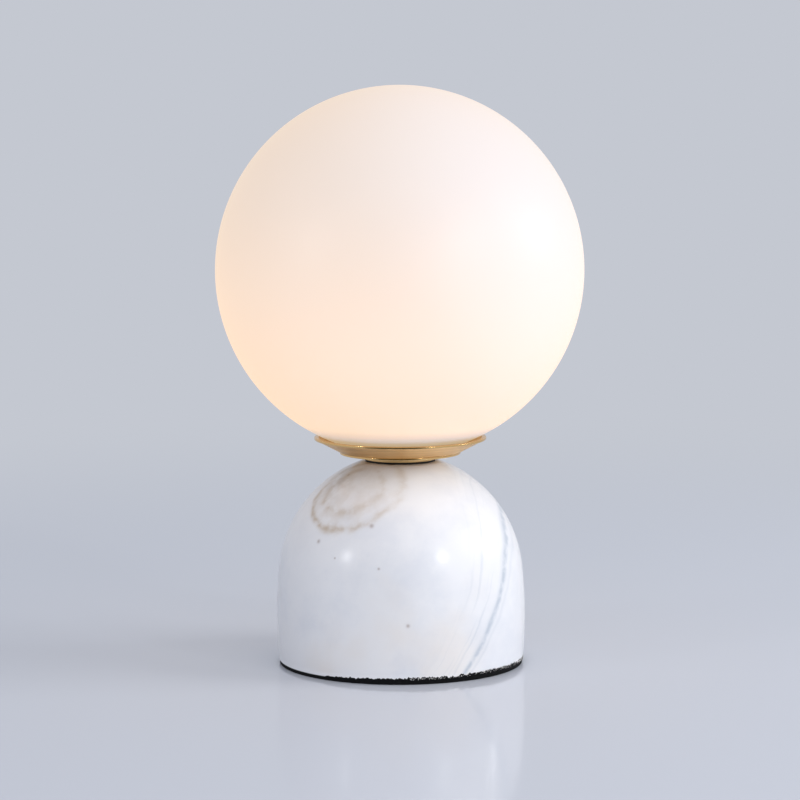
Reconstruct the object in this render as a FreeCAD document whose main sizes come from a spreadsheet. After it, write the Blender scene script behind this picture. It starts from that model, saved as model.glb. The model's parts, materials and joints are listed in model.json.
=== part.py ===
import FreeCAD, Part
import math
import os
import Sketcher
from FreeCAD import Placement, Rotation, Vector

# A glass globe table lamp: an opal glass ball that sits in a two-tier turned brass gallery on a marble
# dome.  Millimetres.  The origin is the centre of the face that the lamp stands on, +Z is up, the front
# is -Y and the mains cord comes in at the back, on +Y.
#
# One hollow threaded rod ties the lamp together.  Its lower nut pulls on washers against the roof of a
# recess under the stone, its upper nut clamps the lampholder's bracket, the spring plate, the dish and
# the disc to the top of the stone.  The ball's collar rests on a silicone ring in the dish, held by the
# three arms of the spring plate, and lifts straight off.

DIMENSIONS = {
    # the foot pad and the stone
    "pad_radius": 49.9,
    "pad_height": 1.4,
    "stone_height": 81.9,
    "rim_radius": 50.2,
    "rim_arris": 0.6,
    "side_round": 194.6,
    "shoulder_radius": 49.91,
    "shoulder_height": 38.74,
    "dome_round": 51.32,
    "land_radius": 15.25,
    "land_bore": 5.5,
    "recess_radius": 26.0,
    "recess_depth": 18.6,
    "cord_height": 9.6,
    "cord_hole_radius": 4.5,
    "spot_face_radius": 6.8,
    "spot_face_depth": 49.6,
    # the bushing that the cord comes in through
    "bushing_bore": 3.25,
    "bushing_shank_radius": 4.4,
    "bushing_shank": 12.0,
    "bushing_flange_radius": 6.5,
    "bushing_flange": 1.5,
    # the rod, its nuts and washers
    "rod_radius": 5.0,
    "rod_bore": 3.6,
    "rod_bottom": 9.4,
    "rod_top": 95.6,
    "stack_bore": 5.1,
    "nut_flats": 14.0,
    "nut_height": 4.0,
    "rubber_radius": 14.5,
    "rubber_height": 1.0,
    "steel_washer_radius": 14.0,
    "steel_washer_height": 1.5,
    "lock_washer_radius": 8.6,
    "lock_washer_height": 2.0,
    "star_washer_radius": 8.2,
    "star_washer_height": 0.7,
    # the gallery
    "seat_radius": 14.3,
    "seat_height": 0.8,
    "disc_foot_radius": 14.9,
    "disc_foot_height": 2.15,
    "disc_radius": 24.77,
    "disc_lip": 0.85,
    "dish_wall": 0.9,
    "dish_floor_radius": 25.0,
    "cone_top_radius": 34.5,
    "cone_height": 5.0,
    "dish_radius": 35.2,
    "dish_lip": 1.0,
    "dish_mouth_radius": 33.4,
    "cone_inner_foot": 24.4,
    # the ball and what holds it
    "globe_radius": 75.0,
    "glass_wall": 3.0,
    "collar_radius": 25.5,
    "collar_bore": 22.5,
    "globe_centre": 71.8,
    "gasket_bore": 22.0,
    "gasket_seat": 1.4,
    "gasket_foot_radius": 24.2,
    "gasket_top": 2.1,
    "gasket_lip_bore": 25.8,
    "gasket_top_radius": 27.3,
    "spring_thickness": 0.5,
    "spring_width": 6.0,
    "spring_ring_radius": 9.5,
    "spring_rise_radius": 20.4,
    "spring_knee_radius": 22.1,
    "spring_knee_height": 6.0,
    "spring_tip_radius": 18.4,
    "spring_tip_height": 10.2,
    "spring_root": 8.5,
    # the lampholder on its bracket
    "bracket_sheet": 1.2,
    "bracket_width": 12.0,
    "bracket_span": 21.6,
    "bracket_height": 14.4,
    "bracket_reach": 16.0,
    "tag_sheet": 0.6,
    "tag_ring_radius": 8.0,
    "tag_reach": 13.6,
    "tag_width": 5.0,
    "tag_root": 6.5,
    "holder_length": 32.0,
    "holder_width": 17.6,
    "holder_plate": 1.0,
    "holder_flange": 5.5,
    "holder_tower_radius": 8.8,
    "holder_height": 16.0,
    "holder_screw_reach": 12.9,
    "wire_hole_radius": 1.5,
    "screw_hole_radius": 1.5,
    "screw_radius": 1.4,
    "screw_head_radius": 2.7,
    "screw_head_height": 1.8,
    "pin_reach": 4.5,
    "pin_radius": 0.5,
    "pin_length": 8.0,
    "pin_hole": 1.1,
    "contact_well": 2.2,
    "contact_roof": 2.4,
    "contact_radius": 1.9,
    "contact_bore": 0.8,
    "contact_length": 8.6,
    # the bulb
    "bulb_base_radius": 8.2,
    "bulb_neck_radius": 7.0,
    "bulb_base_height": 11.0,
    "bulb_radius": 8.0,
    "bulb_wall": 0.8,
    "bulb_length": 36.0,
    "core_width": 7.0,
    "core_height": 28.0,
    # the wiring
    "lead_radius": 0.9,
    "lead_reach": 2.0,
    "earth_reach": 2.3,
    "lead_floor": 5.2,
    "lead_tail": 3.0,
    "lead_rise": 1.0,
    "lead_spread": 3.5,
    "earth_rise": 4.5,
    "block_pitch": 7.0,
    "block_depth": 13.0,
    "block_height": 10.5,
    "block_front": 22.5,
    "block_flat": 5.8,
    "block_inset": 0.8,
    "block_well_radius": 1.3,
    "block_screw_radius": 1.2,
    "block_screw_height": 3.5,
    "front_screw": 3.6,
    "back_screw": 9.4,
}
STAR_NOTCHES = 12
SPRING_ARMS = 3
POLES = 3


class Size:
    """A length with the sheet expression that gives it, so that sums of sizes stay bound to the sheet."""

    def __init__(self, value, text):
        self.value = value
        self.text = text

    def __add__(self, other):
        return joined(self, "+", other, self.value + sized(other).value)

    def __radd__(self, other):
        return sized(other) + self

    def __sub__(self, other):
        return joined(self, "-", other, self.value - sized(other).value)

    def __rsub__(self, other):
        return sized(other) - self

    def __mul__(self, other):
        return joined(self, "*", other, self.value * sized(other).value)

    def __rmul__(self, other):
        return sized(other) * self

    def __truediv__(self, other):
        return joined(self, "/", other, self.value / sized(other).value)


def sized(item):
    """The item as a Size, where it may be a plain number."""
    if isinstance(item, Size):
        return item
    return Size(float(item), f"{item:g}")


def joined(first, sign, second, value):
    """The Size of two sizes joined by a sign."""
    return Size(value, f"({first.text} {sign} {sized(second).text})")


def root(size):
    """The square root of a size."""
    return Size(math.sqrt(size.value), f"sqrt({size.text})")


def bind(item, path, size):
    """Gives a property of a document object its size from the sheet."""
    item.setExpression(path, sized(size).text)


doc = FreeCAD.newDocument("GlobeLamp")
sheet = doc.addObject("Spreadsheet::Sheet", "dims")
for row, (alias, number) in enumerate(DIMENSIONS.items(), start=1):
    sheet.set(f"A{row}", alias)
    sheet.set(f"B{row}", str(number))
    sheet.setAlias(f"B{row}", alias)
doc.recompute()


class Sizes:
    """Every driving dimension of the sheet, as dim.alias."""

    def __getattr__(self, alias):
        return Size(float(sheet.get(alias)), f"dims.{alias}")


dim = Sizes()

# Heights above the floor of the faces on which the pieces stand.
STONE_FOOT = dim.pad_height
RECESS_ROOF = STONE_FOOT + dim.recess_depth
STONE_TOP = STONE_FOOT + dim.stone_height
DISC_FOOT = STONE_TOP + dim.seat_height
DISH_FOOT = DISC_FOOT + dim.disc_foot_height + dim.disc_lip
DISH_FLOOR = DISH_FOOT + dim.dish_wall
GLASS_FOOT = DISH_FLOOR + dim.gasket_seat
BRACKET_FOOT = DISH_FLOOR + dim.spring_thickness
TAG_FOOT = BRACKET_FOOT + dim.bracket_sheet
STAR_FOOT = TAG_FOOT + dim.tag_sheet
TOP_NUT_FOOT = STAR_FOOT + dim.star_washer_height
BRACKET_TOP = BRACKET_FOOT + dim.bracket_height
HOLDER_FOOT = BRACKET_TOP + dim.holder_plate
BULB_FOOT = HOLDER_FOOT + dim.holder_height
CONTACT_FOOT = BULB_FOOT - dim.contact_roof - dim.contact_length
STEEL_WASHER_FOOT = RECESS_ROOF - dim.rubber_height - dim.steel_washer_height
LOCK_WASHER_FOOT = STEEL_WASHER_FOOT - dim.lock_washer_height
ROD_NUT_FOOT = LOCK_WASHER_FOOT - dim.nut_height

sub_parts = []


# ---------------------------------------------------------------------------------------------------
# How bodies, outlines and features are made
# ---------------------------------------------------------------------------------------------------
def add_body(label, foot=0.0):
    """A body for one sub-part, standing at its foot height."""
    body = doc.addObject("PartDesign::Body", label)
    body.Label = label
    bind(body, "Placement.Base.z", foot)
    sub_parts.append(body)
    return body


def add_sketch(body, plane="XZ_Plane", offset=None):
    """A sketch on one of its body's own planes, moved along the plane's normal by offset."""
    sketch = body.newObject("Sketcher::SketchObject", body.Label + "_sketch")
    origin_plane = next(item for item in body.Origin.OriginFeatures if item.Role == plane)
    sketch.AttachmentSupport = (origin_plane, [""])
    sketch.MapMode = "FlatFace"
    if offset is not None:
        bind(sketch, "AttachmentOffset.Base.z", offset)
    return sketch


def hold(sketch, kind, *where, size):
    """One measured constraint, bound to the sheet."""
    index = sketch.addConstraint(Sketcher.Constraint(kind, *where, size.value))
    bind(sketch, f"Constraints[{index}]", size)


def hold_point(sketch, edge, end, across, up):
    """Holds one end of an edge at its distances from the sketch's origin."""
    for kind, axis, distance in (("DistanceX", -2, sized(across)), ("DistanceY", -1, sized(up))):
        if abs(distance.value) < 1e-9:
            sketch.addConstraint(Sketcher.Constraint("PointOnObject", edge, end, axis))
        else:
            hold(sketch, kind, -1, 1, edge, end, size=distance)


class Bend:
    """A corner that is reached by an arc: turn is 1 where the arc turns left on its way there, else -1."""

    def __init__(self, across, up, radius, turn):
        self.point = (across, up)
        self.radius = sized(radius)
        self.turn = turn


def arc_between(start, end, radius, turn):
    """The shorter arc of a radius from start to end."""
    chord = end - start
    middle = (start + end) * 0.5
    reach = math.sqrt(max(radius**2 - (chord.Length / 2) ** 2, 0.0))
    side = Vector(-chord.y, chord.x, 0).normalize() * turn
    centre = middle + side * reach
    first, last = (start, end) if turn > 0 else (end, start)
    begin = math.atan2(first.y - centre.y, first.x - centre.x)
    finish = math.atan2(last.y - centre.y, last.x - centre.x)
    circle = Part.Circle(centre, Vector(0, 0, 1), radius)
    return Part.ArcOfCircle(circle, begin, finish if finish > begin else finish + 2 * math.pi)


def draw_outline(sketch, corners):
    """A closed outline through corners, which are (across, up) pairs or Bends."""
    points = [item.point if isinstance(item, Bend) else item for item in corners]
    places = [Vector(sized(x).value, sized(y).value, 0) for x, y in points]
    starts = []
    ends = []
    for index, item in enumerate(corners):
        start, end = places[index - 1], places[index]
        if isinstance(item, Bend):
            edge = sketch.addGeometry(arc_between(start, end, item.radius.value, item.turn), False)
            starts.append((edge, 1 if item.turn > 0 else 2))
            ends.append((edge, 2 if item.turn > 0 else 1))
        else:
            edge = sketch.addGeometry(Part.LineSegment(start, end), False)
            starts.append((edge, 1))
            ends.append((edge, 2))
    for index, item in enumerate(corners):
        following = starts[(index + 1) % len(corners)]
        sketch.addConstraint(Sketcher.Constraint("Coincident", *ends[index], *following))
        hold_point(sketch, *ends[index], *points[index])
        if isinstance(item, Bend):
            hold(sketch, "Radius", ends[index][0], size=item.radius)


def draw_circle(sketch, across, up, radius):
    """A circle at its distances from the sketch's origin."""
    centre = Vector(sized(across).value, sized(up).value, 0)
    edge = sketch.addGeometry(Part.Circle(centre, Vector(0, 0, 1), sized(radius).value), False)
    hold_point(sketch, edge, 3, across, up)
    hold(sketch, "Radius", edge, size=sized(radius))


def revolve(body, corners, kind="PartDesign::Revolution"):
    """Turns an outline of (radius, height) corners about the body's Z axis, to add or to cut."""
    sketch = add_sketch(body)
    draw_outline(sketch, corners)
    feature = body.newObject(kind, body.Label + "_turned")
    feature.Profile = sketch
    feature.ReferenceAxis = (sketch, ["V_Axis"])
    feature.Angle = 360.0
    return feature


def extrude(body, sketch, length, kind="PartDesign::Pad", both_ways=False, backwards=False):
    """Pads a sketch, or cuts with it as a pocket."""
    feature = body.newObject(kind, body.Label + "_extruded")
    feature.Profile = sketch
    bind(feature, "Length", length)
    if both_ways:
        feature.Midplane = True
    feature.Reversed = backwards
    return feature


def cut(body, sketch, length, **choices):
    """A pocket, checked to have taken something away."""
    doc.recompute()
    before = body.Shape.Volume
    pocket = extrude(body, sketch, length, kind="PartDesign::Pocket", **choices)
    doc.recompute()
    if body.Shape.Volume > before - 1e-6:
        raise RuntimeError(f"a pocket in {body.Label} cuts nothing")
    return pocket


def repeat_round(body, feature, count):
    """Repeats a feature evenly round the body's Z axis and makes the pattern the body's tip."""
    doc.recompute()
    pattern = body.newObject("PartDesign::PolarPattern", body.Label + "_round")
    pattern.Originals = [feature]
    pattern.Axis = (feature.Profile[0], ["V_Axis" if standing(feature) else "N_Axis"])
    pattern.Angle = 360.0
    pattern.Occurrences = count
    body.Tip = pattern
    return pattern


def standing(feature):
    """Whether a feature's sketch stands upright, so that its vertical axis is the body's Z axis."""
    return feature.Profile[0].AttachmentSupport[0][0].Role != "XY_Plane"


def ring(label, foot, bore, radius, height):
    """A flat ring standing at a height: a washer or a gasket."""
    body = add_body(label, foot)
    revolve(body, [(bore, 0), (radius, 0), (radius, height), (bore, height)])
    return body


# ---------------------------------------------------------------------------------------------------
# The foot pad, the stone and the cord's bushing
# ---------------------------------------------------------------------------------------------------
def make_foot_pad():
    """A plain disc of foam that closes the recess under the stone."""
    body = add_body("foot_pad")
    sketch = add_sketch(body, "XY_Plane")
    draw_circle(sketch, 0, 0, dim.pad_radius)
    extrude(body, sketch, dim.pad_height)


def make_marble_base():
    """The marble dome: a barely tapered side that runs into a round crown, with a small flat land on top.

    It is hollowed from below for the wiring and bored through for the rod, with a radial hole at the
    back for the cord.
    """
    body = add_body("marble_base", STONE_FOOT)
    revolve(
        body,
        [
            (dim.recess_radius, 0),
            (dim.rim_radius - dim.rim_arris, 0),
            (dim.rim_radius, dim.rim_arris),
            Bend(dim.shoulder_radius, dim.shoulder_height, dim.side_round, 1),
            Bend(dim.land_radius, dim.stone_height, dim.dome_round, 1),
            (dim.land_bore, dim.stone_height),
            (dim.land_bore, dim.recess_depth),
            (dim.recess_radius, dim.recess_depth),
        ],
    )
    hole = add_sketch(body)
    draw_circle(hole, 0, dim.cord_height, dim.cord_hole_radius)
    cut(body, hole, 2 * dim.rim_radius)
    spot_face = add_sketch(body, offset=-1 * dim.spot_face_depth)
    draw_circle(spot_face, 0, dim.cord_height, dim.spot_face_radius)
    cut(body, spot_face, dim.rim_radius)


def make_cord_bushing():
    """A flanged plastic bushing in the cord's hole, its flange against the spot face."""
    body = add_body("cord_bushing", STONE_FOOT + dim.cord_height)
    edge = dim.bushing_flange / 3
    revolve(
        body,
        [
            (dim.bushing_bore, -1 * dim.bushing_shank),
            (dim.bushing_shank_radius, -1 * dim.bushing_shank),
            (dim.bushing_shank_radius, 0),
            (dim.bushing_flange_radius, 0),
            (dim.bushing_flange_radius, dim.bushing_flange - edge),
            (dim.bushing_flange_radius - edge, dim.bushing_flange),
            (dim.bushing_bore + edge, dim.bushing_flange),
            (dim.bushing_bore, dim.bushing_flange - edge),
        ],
    )
    body.Placement = Placement(Vector(0, 0, 0), Rotation(Vector(1, 0, 0), -90))
    bind(body, "Placement.Base.y", dim.spot_face_depth)


# ---------------------------------------------------------------------------------------------------
# The threaded rod and what it clamps
# ---------------------------------------------------------------------------------------------------
def make_central_rod():
    """The hollow rod, with a small lead at each end of its outside."""
    body = add_body("central_rod", dim.rod_bottom)
    length = dim.rod_top - dim.rod_bottom
    lead = dim.rod_radius / 10
    revolve(
        body,
        [
            (dim.rod_bore, 0),
            (dim.rod_radius - lead, 0),
            (dim.rod_radius, lead),
            (dim.rod_radius, length - lead),
            (dim.rod_radius - lead, length),
            (dim.rod_bore, length),
        ],
    )


def make_nut(label, foot):
    """A thin hexagon nut with both faces chamfered."""
    body = add_body(label, foot)
    corner = dim.nut_flats / math.sqrt(3)
    half_flats = dim.nut_flats / 2
    sketch = add_sketch(body, "XY_Plane")
    draw_outline(
        sketch,
        [
            (corner, 0),
            (corner / 2, half_flats),
            (corner / -2, half_flats),
            (corner * -1, 0),
            (corner / -2, half_flats * -1),
            (corner / 2, half_flats * -1),
        ],
    )
    draw_circle(sketch, 0, 0, dim.stack_bore)
    extrude(body, sketch, dim.nut_height)
    doc.recompute()
    slope = corner - half_flats
    rise = slope * math.tan(math.radians(30))
    for level, way in ((sized(0), 1), (dim.nut_height, -1)):
        revolve(
            body,
            [
                (half_flats, level),
                (corner + slope, level),
                (corner + slope, level + rise * 2 * way),
            ],
            kind="PartDesign::Groove",
        )


def make_lock_washer():
    """A split spring washer."""
    body = ring(
        "lock_washer", LOCK_WASHER_FOOT, dim.stack_bore, dim.lock_washer_radius, dim.lock_washer_height
    )
    doc.recompute()
    split = add_sketch(body, "XY_Plane")
    half = dim.lock_washer_height / 4
    draw_outline(
        split,
        [
            (half * -1, dim.stack_bore / 2),
            (half, dim.stack_bore / 2),
            (half, dim.lock_washer_radius * 1.1),
            (half * -1, dim.lock_washer_radius * 1.1),
        ],
    )
    cut(body, split, dim.lock_washer_height, backwards=True)


def make_star_washer():
    """A toothed washer: a ring with notches cut in from its edge."""
    body = ring(
        "star_washer", STAR_FOOT, dim.stack_bore, dim.star_washer_radius, dim.star_washer_height
    )
    doc.recompute()
    notch = add_sketch(body, "XY_Plane")
    half = dim.star_washer_radius / 12
    draw_outline(
        notch,
        [
            (dim.star_washer_radius - half * 2, half * -0.5),
            (dim.star_washer_radius * 1.1, half * -1.2),
            (dim.star_washer_radius * 1.1, half * 1.2),
            (dim.star_washer_radius - half * 2, half * 0.5),
        ],
    )
    pocket = cut(body, notch, dim.star_washer_height, backwards=True)
    repeat_round(body, pocket, STAR_NOTCHES)


def make_clamped_rings():
    """The plain washers: one of rubber and one of steel below, a thin rubber one under the gallery."""
    ring(
        "rubber_washer",
        RECESS_ROOF - dim.rubber_height,
        dim.stack_bore,
        dim.rubber_radius,
        dim.rubber_height,
    )
    ring(
        "steel_washer",
        STEEL_WASHER_FOOT,
        dim.stack_bore,
        dim.steel_washer_radius,
        dim.steel_washer_height,
    )
    ring("stone_washer", STONE_TOP, dim.land_bore, dim.seat_radius, dim.seat_height)


# ---------------------------------------------------------------------------------------------------
# The gallery, its gasket and spring plate, and the glass ball
# ---------------------------------------------------------------------------------------------------
def make_base_disc():
    """The lower tier: a turned foot under a thin wide disc with a rounded edge."""
    body = add_body("base_disc", DISC_FOOT)
    top = dim.disc_foot_height + dim.disc_lip
    revolve(
        body,
        [
            (dim.stack_bore, 0),
            (dim.disc_foot_radius, 0),
            (dim.disc_foot_radius, dim.disc_foot_height),
            (dim.disc_radius - dim.disc_lip / 2, dim.disc_foot_height),
            Bend(dim.disc_radius, dim.disc_foot_height + dim.disc_lip / 2, dim.disc_lip / 2, 1),
            Bend(dim.disc_radius - dim.disc_lip / 2, top, dim.disc_lip / 2, 1),
            (dim.stack_bore, top),
        ],
    )


def make_globe_dish():
    """The upper tier: a spun dish with a flat floor, a wide cone and a rolled lip."""
    body = add_body("globe_dish", DISH_FOOT)
    rim = dim.cone_height + dim.dish_lip
    slope = (dim.cone_top_radius - dim.dish_floor_radius) / dim.cone_height
    mouth_height = dim.dish_wall + (dim.dish_mouth_radius - dim.cone_inner_foot) / slope
    roll = dim.dish_lip / 2
    revolve(
        body,
        [
            (dim.stack_bore, 0),
            (dim.dish_floor_radius, 0),
            (dim.cone_top_radius, dim.cone_height),
            (dim.dish_radius - roll, dim.cone_height),
            Bend(dim.dish_radius, dim.cone_height + roll, roll, 1),
            Bend(dim.dish_radius - roll, rim, roll, 1),
            (dim.dish_mouth_radius, rim),
            (dim.dish_mouth_radius, mouth_height),
            (dim.cone_inner_foot, dim.dish_wall),
            (dim.stack_bore, dim.dish_wall),
        ],
    )


def make_glass_gasket():
    """The silicone ring in the corner of the dish: a seat for the collar with a lip round it."""
    body = add_body("glass_gasket", DISH_FLOOR)
    revolve(
        body,
        [
            (dim.gasket_bore, 0),
            (dim.gasket_foot_radius, 0),
            (dim.gasket_top_radius, dim.gasket_top - dim.gasket_seat / 4),
            (dim.gasket_top_radius, dim.gasket_top),
            (dim.gasket_lip_bore, dim.gasket_top),
            (dim.gasket_lip_bore, dim.gasket_seat),
            (dim.gasket_bore, dim.gasket_seat),
        ],
    )


def make_globe_spring():
    """The spring plate: a ring under the nut with three arms that rise inside the ball's collar."""
    body = ring(
        "globe_spring", DISH_FLOOR, dim.stack_bore, dim.spring_ring_radius, dim.spring_thickness
    )
    doc.recompute()
    arm = add_sketch(body)
    sheet_metal = dim.spring_thickness
    draw_outline(
        arm,
        [
            (dim.spring_root, 0),
            (dim.spring_rise_radius + sheet_metal, 0),
            (dim.spring_knee_radius, dim.spring_knee_height),
            (dim.spring_tip_radius, dim.spring_tip_height),
            (dim.spring_tip_radius - sheet_metal, dim.spring_tip_height - sheet_metal),
            (dim.spring_knee_radius - sheet_metal * 1.2, dim.spring_knee_height),
            (dim.spring_rise_radius, sheet_metal),
            (dim.spring_root, sheet_metal),
        ],
    )
    blade = extrude(body, arm, dim.spring_width, both_ways=True)
    repeat_round(body, blade, SPRING_ARMS)
    body.Placement = Placement(Vector(0, 0, 0), Rotation(Vector(0, 0, 1), 90))


def make_glass_globe():
    """The opal ball: an even wall, open below, with a short straight collar round the mouth."""
    body = add_body("glass_globe", GLASS_FOOT)
    inner_radius = dim.globe_radius - dim.glass_wall
    shoulder = root(dim.globe_radius * dim.globe_radius - dim.collar_radius * dim.collar_radius)
    throat = root(inner_radius * inner_radius - dim.collar_bore * dim.collar_bore)
    revolve(
        body,
        [
            (dim.collar_bore, 0),
            (dim.collar_radius, 0),
            (dim.collar_radius, dim.globe_centre - shoulder),
            Bend(0, dim.globe_centre + dim.globe_radius, dim.globe_radius, 1),
            (0, dim.globe_centre + inner_radius),
            Bend(dim.collar_bore, dim.globe_centre - throat, inner_radius, -1),
        ],
    )


# ---------------------------------------------------------------------------------------------------
# The lampholder on its bracket
# ---------------------------------------------------------------------------------------------------
def make_holder_bracket():
    """A strip bent into a stirrup: a foot on the rod, two legs, and a flange on each to carry the holder."""
    body = add_body("holder_bracket", BRACKET_FOOT)
    half_span = dim.bracket_span / 2
    metal = dim.bracket_sheet
    profile = add_sketch(body)
    draw_outline(
        profile,
        [
            (half_span * -1, 0),
            (half_span, 0),
            (half_span, dim.bracket_height - metal),
            (dim.bracket_reach, dim.bracket_height - metal),
            (dim.bracket_reach, dim.bracket_height),
            (half_span - metal, dim.bracket_height),
            (half_span - metal, metal),
            (metal - half_span, metal),
            (metal - half_span, dim.bracket_height),
            (dim.bracket_reach * -1, dim.bracket_height),
            (dim.bracket_reach * -1, dim.bracket_height - metal),
            (half_span * -1, dim.bracket_height - metal),
        ],
    )
    extrude(body, profile, dim.bracket_width, both_ways=True)
    rod_hole = add_sketch(body, "XY_Plane")
    draw_circle(rod_hole, 0, 0, dim.stack_bore)
    cut(body, rod_hole, metal * 2, backwards=True)
    screw_holes = add_sketch(body, "XY_Plane", offset=dim.bracket_height)
    draw_pair(screw_holes, dim.holder_screw_reach, dim.screw_hole_radius)
    cut(body, screw_holes, metal * 2)


def make_earth_tag():
    """A ring tag under the top nut with a tab at the back, where the earth lead is soldered."""
    body = add_body("earth_tag", TAG_FOOT)
    sketch = add_sketch(body, "XY_Plane")
    draw_circle(sketch, 0, 0, dim.tag_ring_radius)
    draw_circle(sketch, 0, 0, dim.stack_bore)
    extrude(body, sketch, dim.tag_sheet)
    doc.recompute()
    tab = add_sketch(body, "XY_Plane")
    half = dim.tag_width / 2
    draw_outline(
        tab,
        [
            (half * -1, dim.tag_root),
            (half, dim.tag_root),
            (half, dim.tag_reach - half),
            Bend(0, dim.tag_reach, half, 1),
            Bend(half * -1, dim.tag_reach - half, half, 1),
        ],
    )
    extrude(body, tab, dim.tag_sheet)


def draw_lozenge(sketch, length, width):
    """An outline with two straight sides and round ends, centred on the origin."""
    flank = (length - width) / 2
    end_round = width / 2
    draw_outline(
        sketch,
        [
            (flank, end_round * -1),
            Bend(length / 2, 0, end_round, 1),
            Bend(flank, end_round, end_round, 1),
            (flank * -1, end_round),
            Bend(length / -2, 0, end_round, 1),
            Bend(flank * -1, end_round * -1, end_round, 1),
        ],
    )


def draw_pair(sketch, reach, radius):
    """Two circles, one on each side of the origin."""
    for side in (-1, 1):
        draw_circle(sketch, reach * side, 0, radius)


def make_holder_plate():
    """The insulating plate between the bracket and the ceramic, with holes for the leads and screws."""
    body = add_body("holder_plate", BRACKET_TOP)
    sketch = add_sketch(body, "XY_Plane")
    draw_lozenge(sketch, dim.holder_length, dim.holder_width)
    draw_pair(sketch, dim.pin_reach, dim.wire_hole_radius)
    draw_pair(sketch, dim.holder_screw_reach, dim.screw_hole_radius)
    extrude(body, sketch, dim.holder_plate)


def make_holder_body():
    """The ceramic lampholder: a low flange with screw holes and a round tower with two pin holes."""
    body = add_body("holder_body", HOLDER_FOOT)
    flange = add_sketch(body, "XY_Plane")
    draw_lozenge(flange, dim.holder_length, dim.holder_width)
    extrude(body, flange, dim.holder_flange)
    tower = add_sketch(body, "XY_Plane")
    draw_circle(tower, 0, 0, dim.holder_tower_radius)
    extrude(body, tower, dim.holder_height)
    wells = add_sketch(body, "XY_Plane")
    draw_pair(wells, dim.pin_reach, dim.contact_well)
    cut(body, wells, dim.holder_height - dim.contact_roof, backwards=True)
    pin_holes = add_sketch(body, "XY_Plane")
    draw_pair(pin_holes, dim.pin_reach, dim.pin_hole)
    cut(body, pin_holes, dim.holder_height, backwards=True)
    screw_holes = add_sketch(body, "XY_Plane")
    draw_pair(screw_holes, dim.holder_screw_reach, dim.screw_hole_radius)
    cut(body, screw_holes, dim.holder_flange, backwards=True)


def make_holder_contacts():
    """Two sprung sleeves in the wells of the ceramic, one for each pin of the bulb."""
    body = add_body("holder_contacts", CONTACT_FOOT)
    sketch = add_sketch(body, "XY_Plane")
    draw_pair(sketch, dim.pin_reach, dim.contact_radius)
    draw_pair(sketch, dim.pin_reach, dim.contact_bore)
    extrude(body, sketch, dim.contact_length)


def make_bracket_screws():
    """Two cheese-head screws down through the ceramic's flange into the bracket."""
    body = add_body("bracket_screws", HOLDER_FOOT + dim.holder_flange)
    shank = dim.holder_flange + dim.holder_plate + dim.bracket_sheet * 2
    heads = add_sketch(body, "XY_Plane")
    draw_pair(heads, dim.holder_screw_reach, dim.screw_head_radius)
    extrude(body, heads, dim.screw_head_height)
    shanks = add_sketch(body, "XY_Plane")
    draw_pair(shanks, dim.holder_screw_reach, dim.screw_radius)
    extrude(body, shanks, shank, backwards=True)


# ---------------------------------------------------------------------------------------------------
# The bulb
# ---------------------------------------------------------------------------------------------------
def make_bulb():
    """A two-pin capsule bulb: a waisted base, its pins, a lamp core and a round-topped cover."""
    base = add_body("bulb_base", BULB_FOOT)
    waist = dim.bulb_base_height / 4
    revolve(
        base,
        [
            (0, 0),
            (dim.bulb_neck_radius, 0),
            (dim.bulb_neck_radius, waist),
            (dim.bulb_base_radius, waist * 2),
            (dim.bulb_base_radius, dim.bulb_base_height),
            (0, dim.bulb_base_height),
        ],
    )
    pins = add_body("bulb_pins", BULB_FOOT - dim.pin_length)
    pin_sketch = add_sketch(pins, "XY_Plane")
    draw_pair(pin_sketch, dim.pin_reach, dim.pin_radius)
    extrude(pins, pin_sketch, dim.pin_length)

    core = add_body("bulb_core", BULB_FOOT + dim.bulb_base_height)
    core_sketch = add_sketch(core, "XY_Plane")
    half = dim.core_width / 2
    nick = dim.core_width / 5
    draw_outline(
        core_sketch,
        [
            (half - nick, half * -1),
            (half, nick - half),
            (half, half - nick),
            (half - nick, half),
            (nick - half, half),
            (half * -1, half - nick),
            (half * -1, nick - half),
            (nick - half, half * -1),
        ],
    )
    extrude(core, core_sketch, dim.core_height)

    cover = add_body("bulb_cover", BULB_FOOT + dim.bulb_base_height)
    inside = dim.bulb_radius - dim.bulb_wall
    crown = dim.bulb_length - dim.bulb_radius
    revolve(
        cover,
        [
            (inside, 0),
            (dim.bulb_radius, 0),
            (dim.bulb_radius, crown),
            Bend(0, dim.bulb_length, dim.bulb_radius, 1),
            (0, dim.bulb_length - dim.bulb_wall),
            Bend(inside, crown, inside, -1),
        ],
    )


# ---------------------------------------------------------------------------------------------------
# The wiring
# ---------------------------------------------------------------------------------------------------
def make_terminal_block():
    """A three-pole block that lies on the foot pad in front of the rod, wire holes fore and aft."""
    length = dim.block_pitch * POLES
    body = add_body("terminal_block", STONE_FOOT)
    flat = add_sketch(body, "XY_Plane")
    draw_outline(flat, [(0, 0), (length, 0), (length, dim.block_depth), (0, dim.block_depth)])
    extrude(body, flat, dim.block_flat)
    towers = add_sketch(body, "XY_Plane")
    near = dim.block_inset
    far = dim.block_depth - dim.block_inset
    for pole in range(POLES):
        left = dim.block_pitch * pole + dim.block_inset
        right = dim.block_pitch * (pole + 1) - dim.block_inset
        draw_outline(towers, [(left, near), (right, near), (right, far), (left, far)])
    extrude(body, towers, dim.block_height)
    wires = add_sketch(body, "XZ_Plane")
    for pole in range(POLES):
        middle = dim.block_pitch * (pole + 0.5)
        draw_circle(wires, middle, dim.lead_floor - STONE_FOOT, dim.wire_hole_radius)
    cut(body, wires, dim.block_depth)
    wells = add_sketch(body, "XY_Plane", offset=dim.block_height)
    draw_screw_circles(wells, dim.block_well_radius)
    cut(body, wells, dim.block_height - (dim.lead_floor - STONE_FOOT))
    place_with_block(body)


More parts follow.
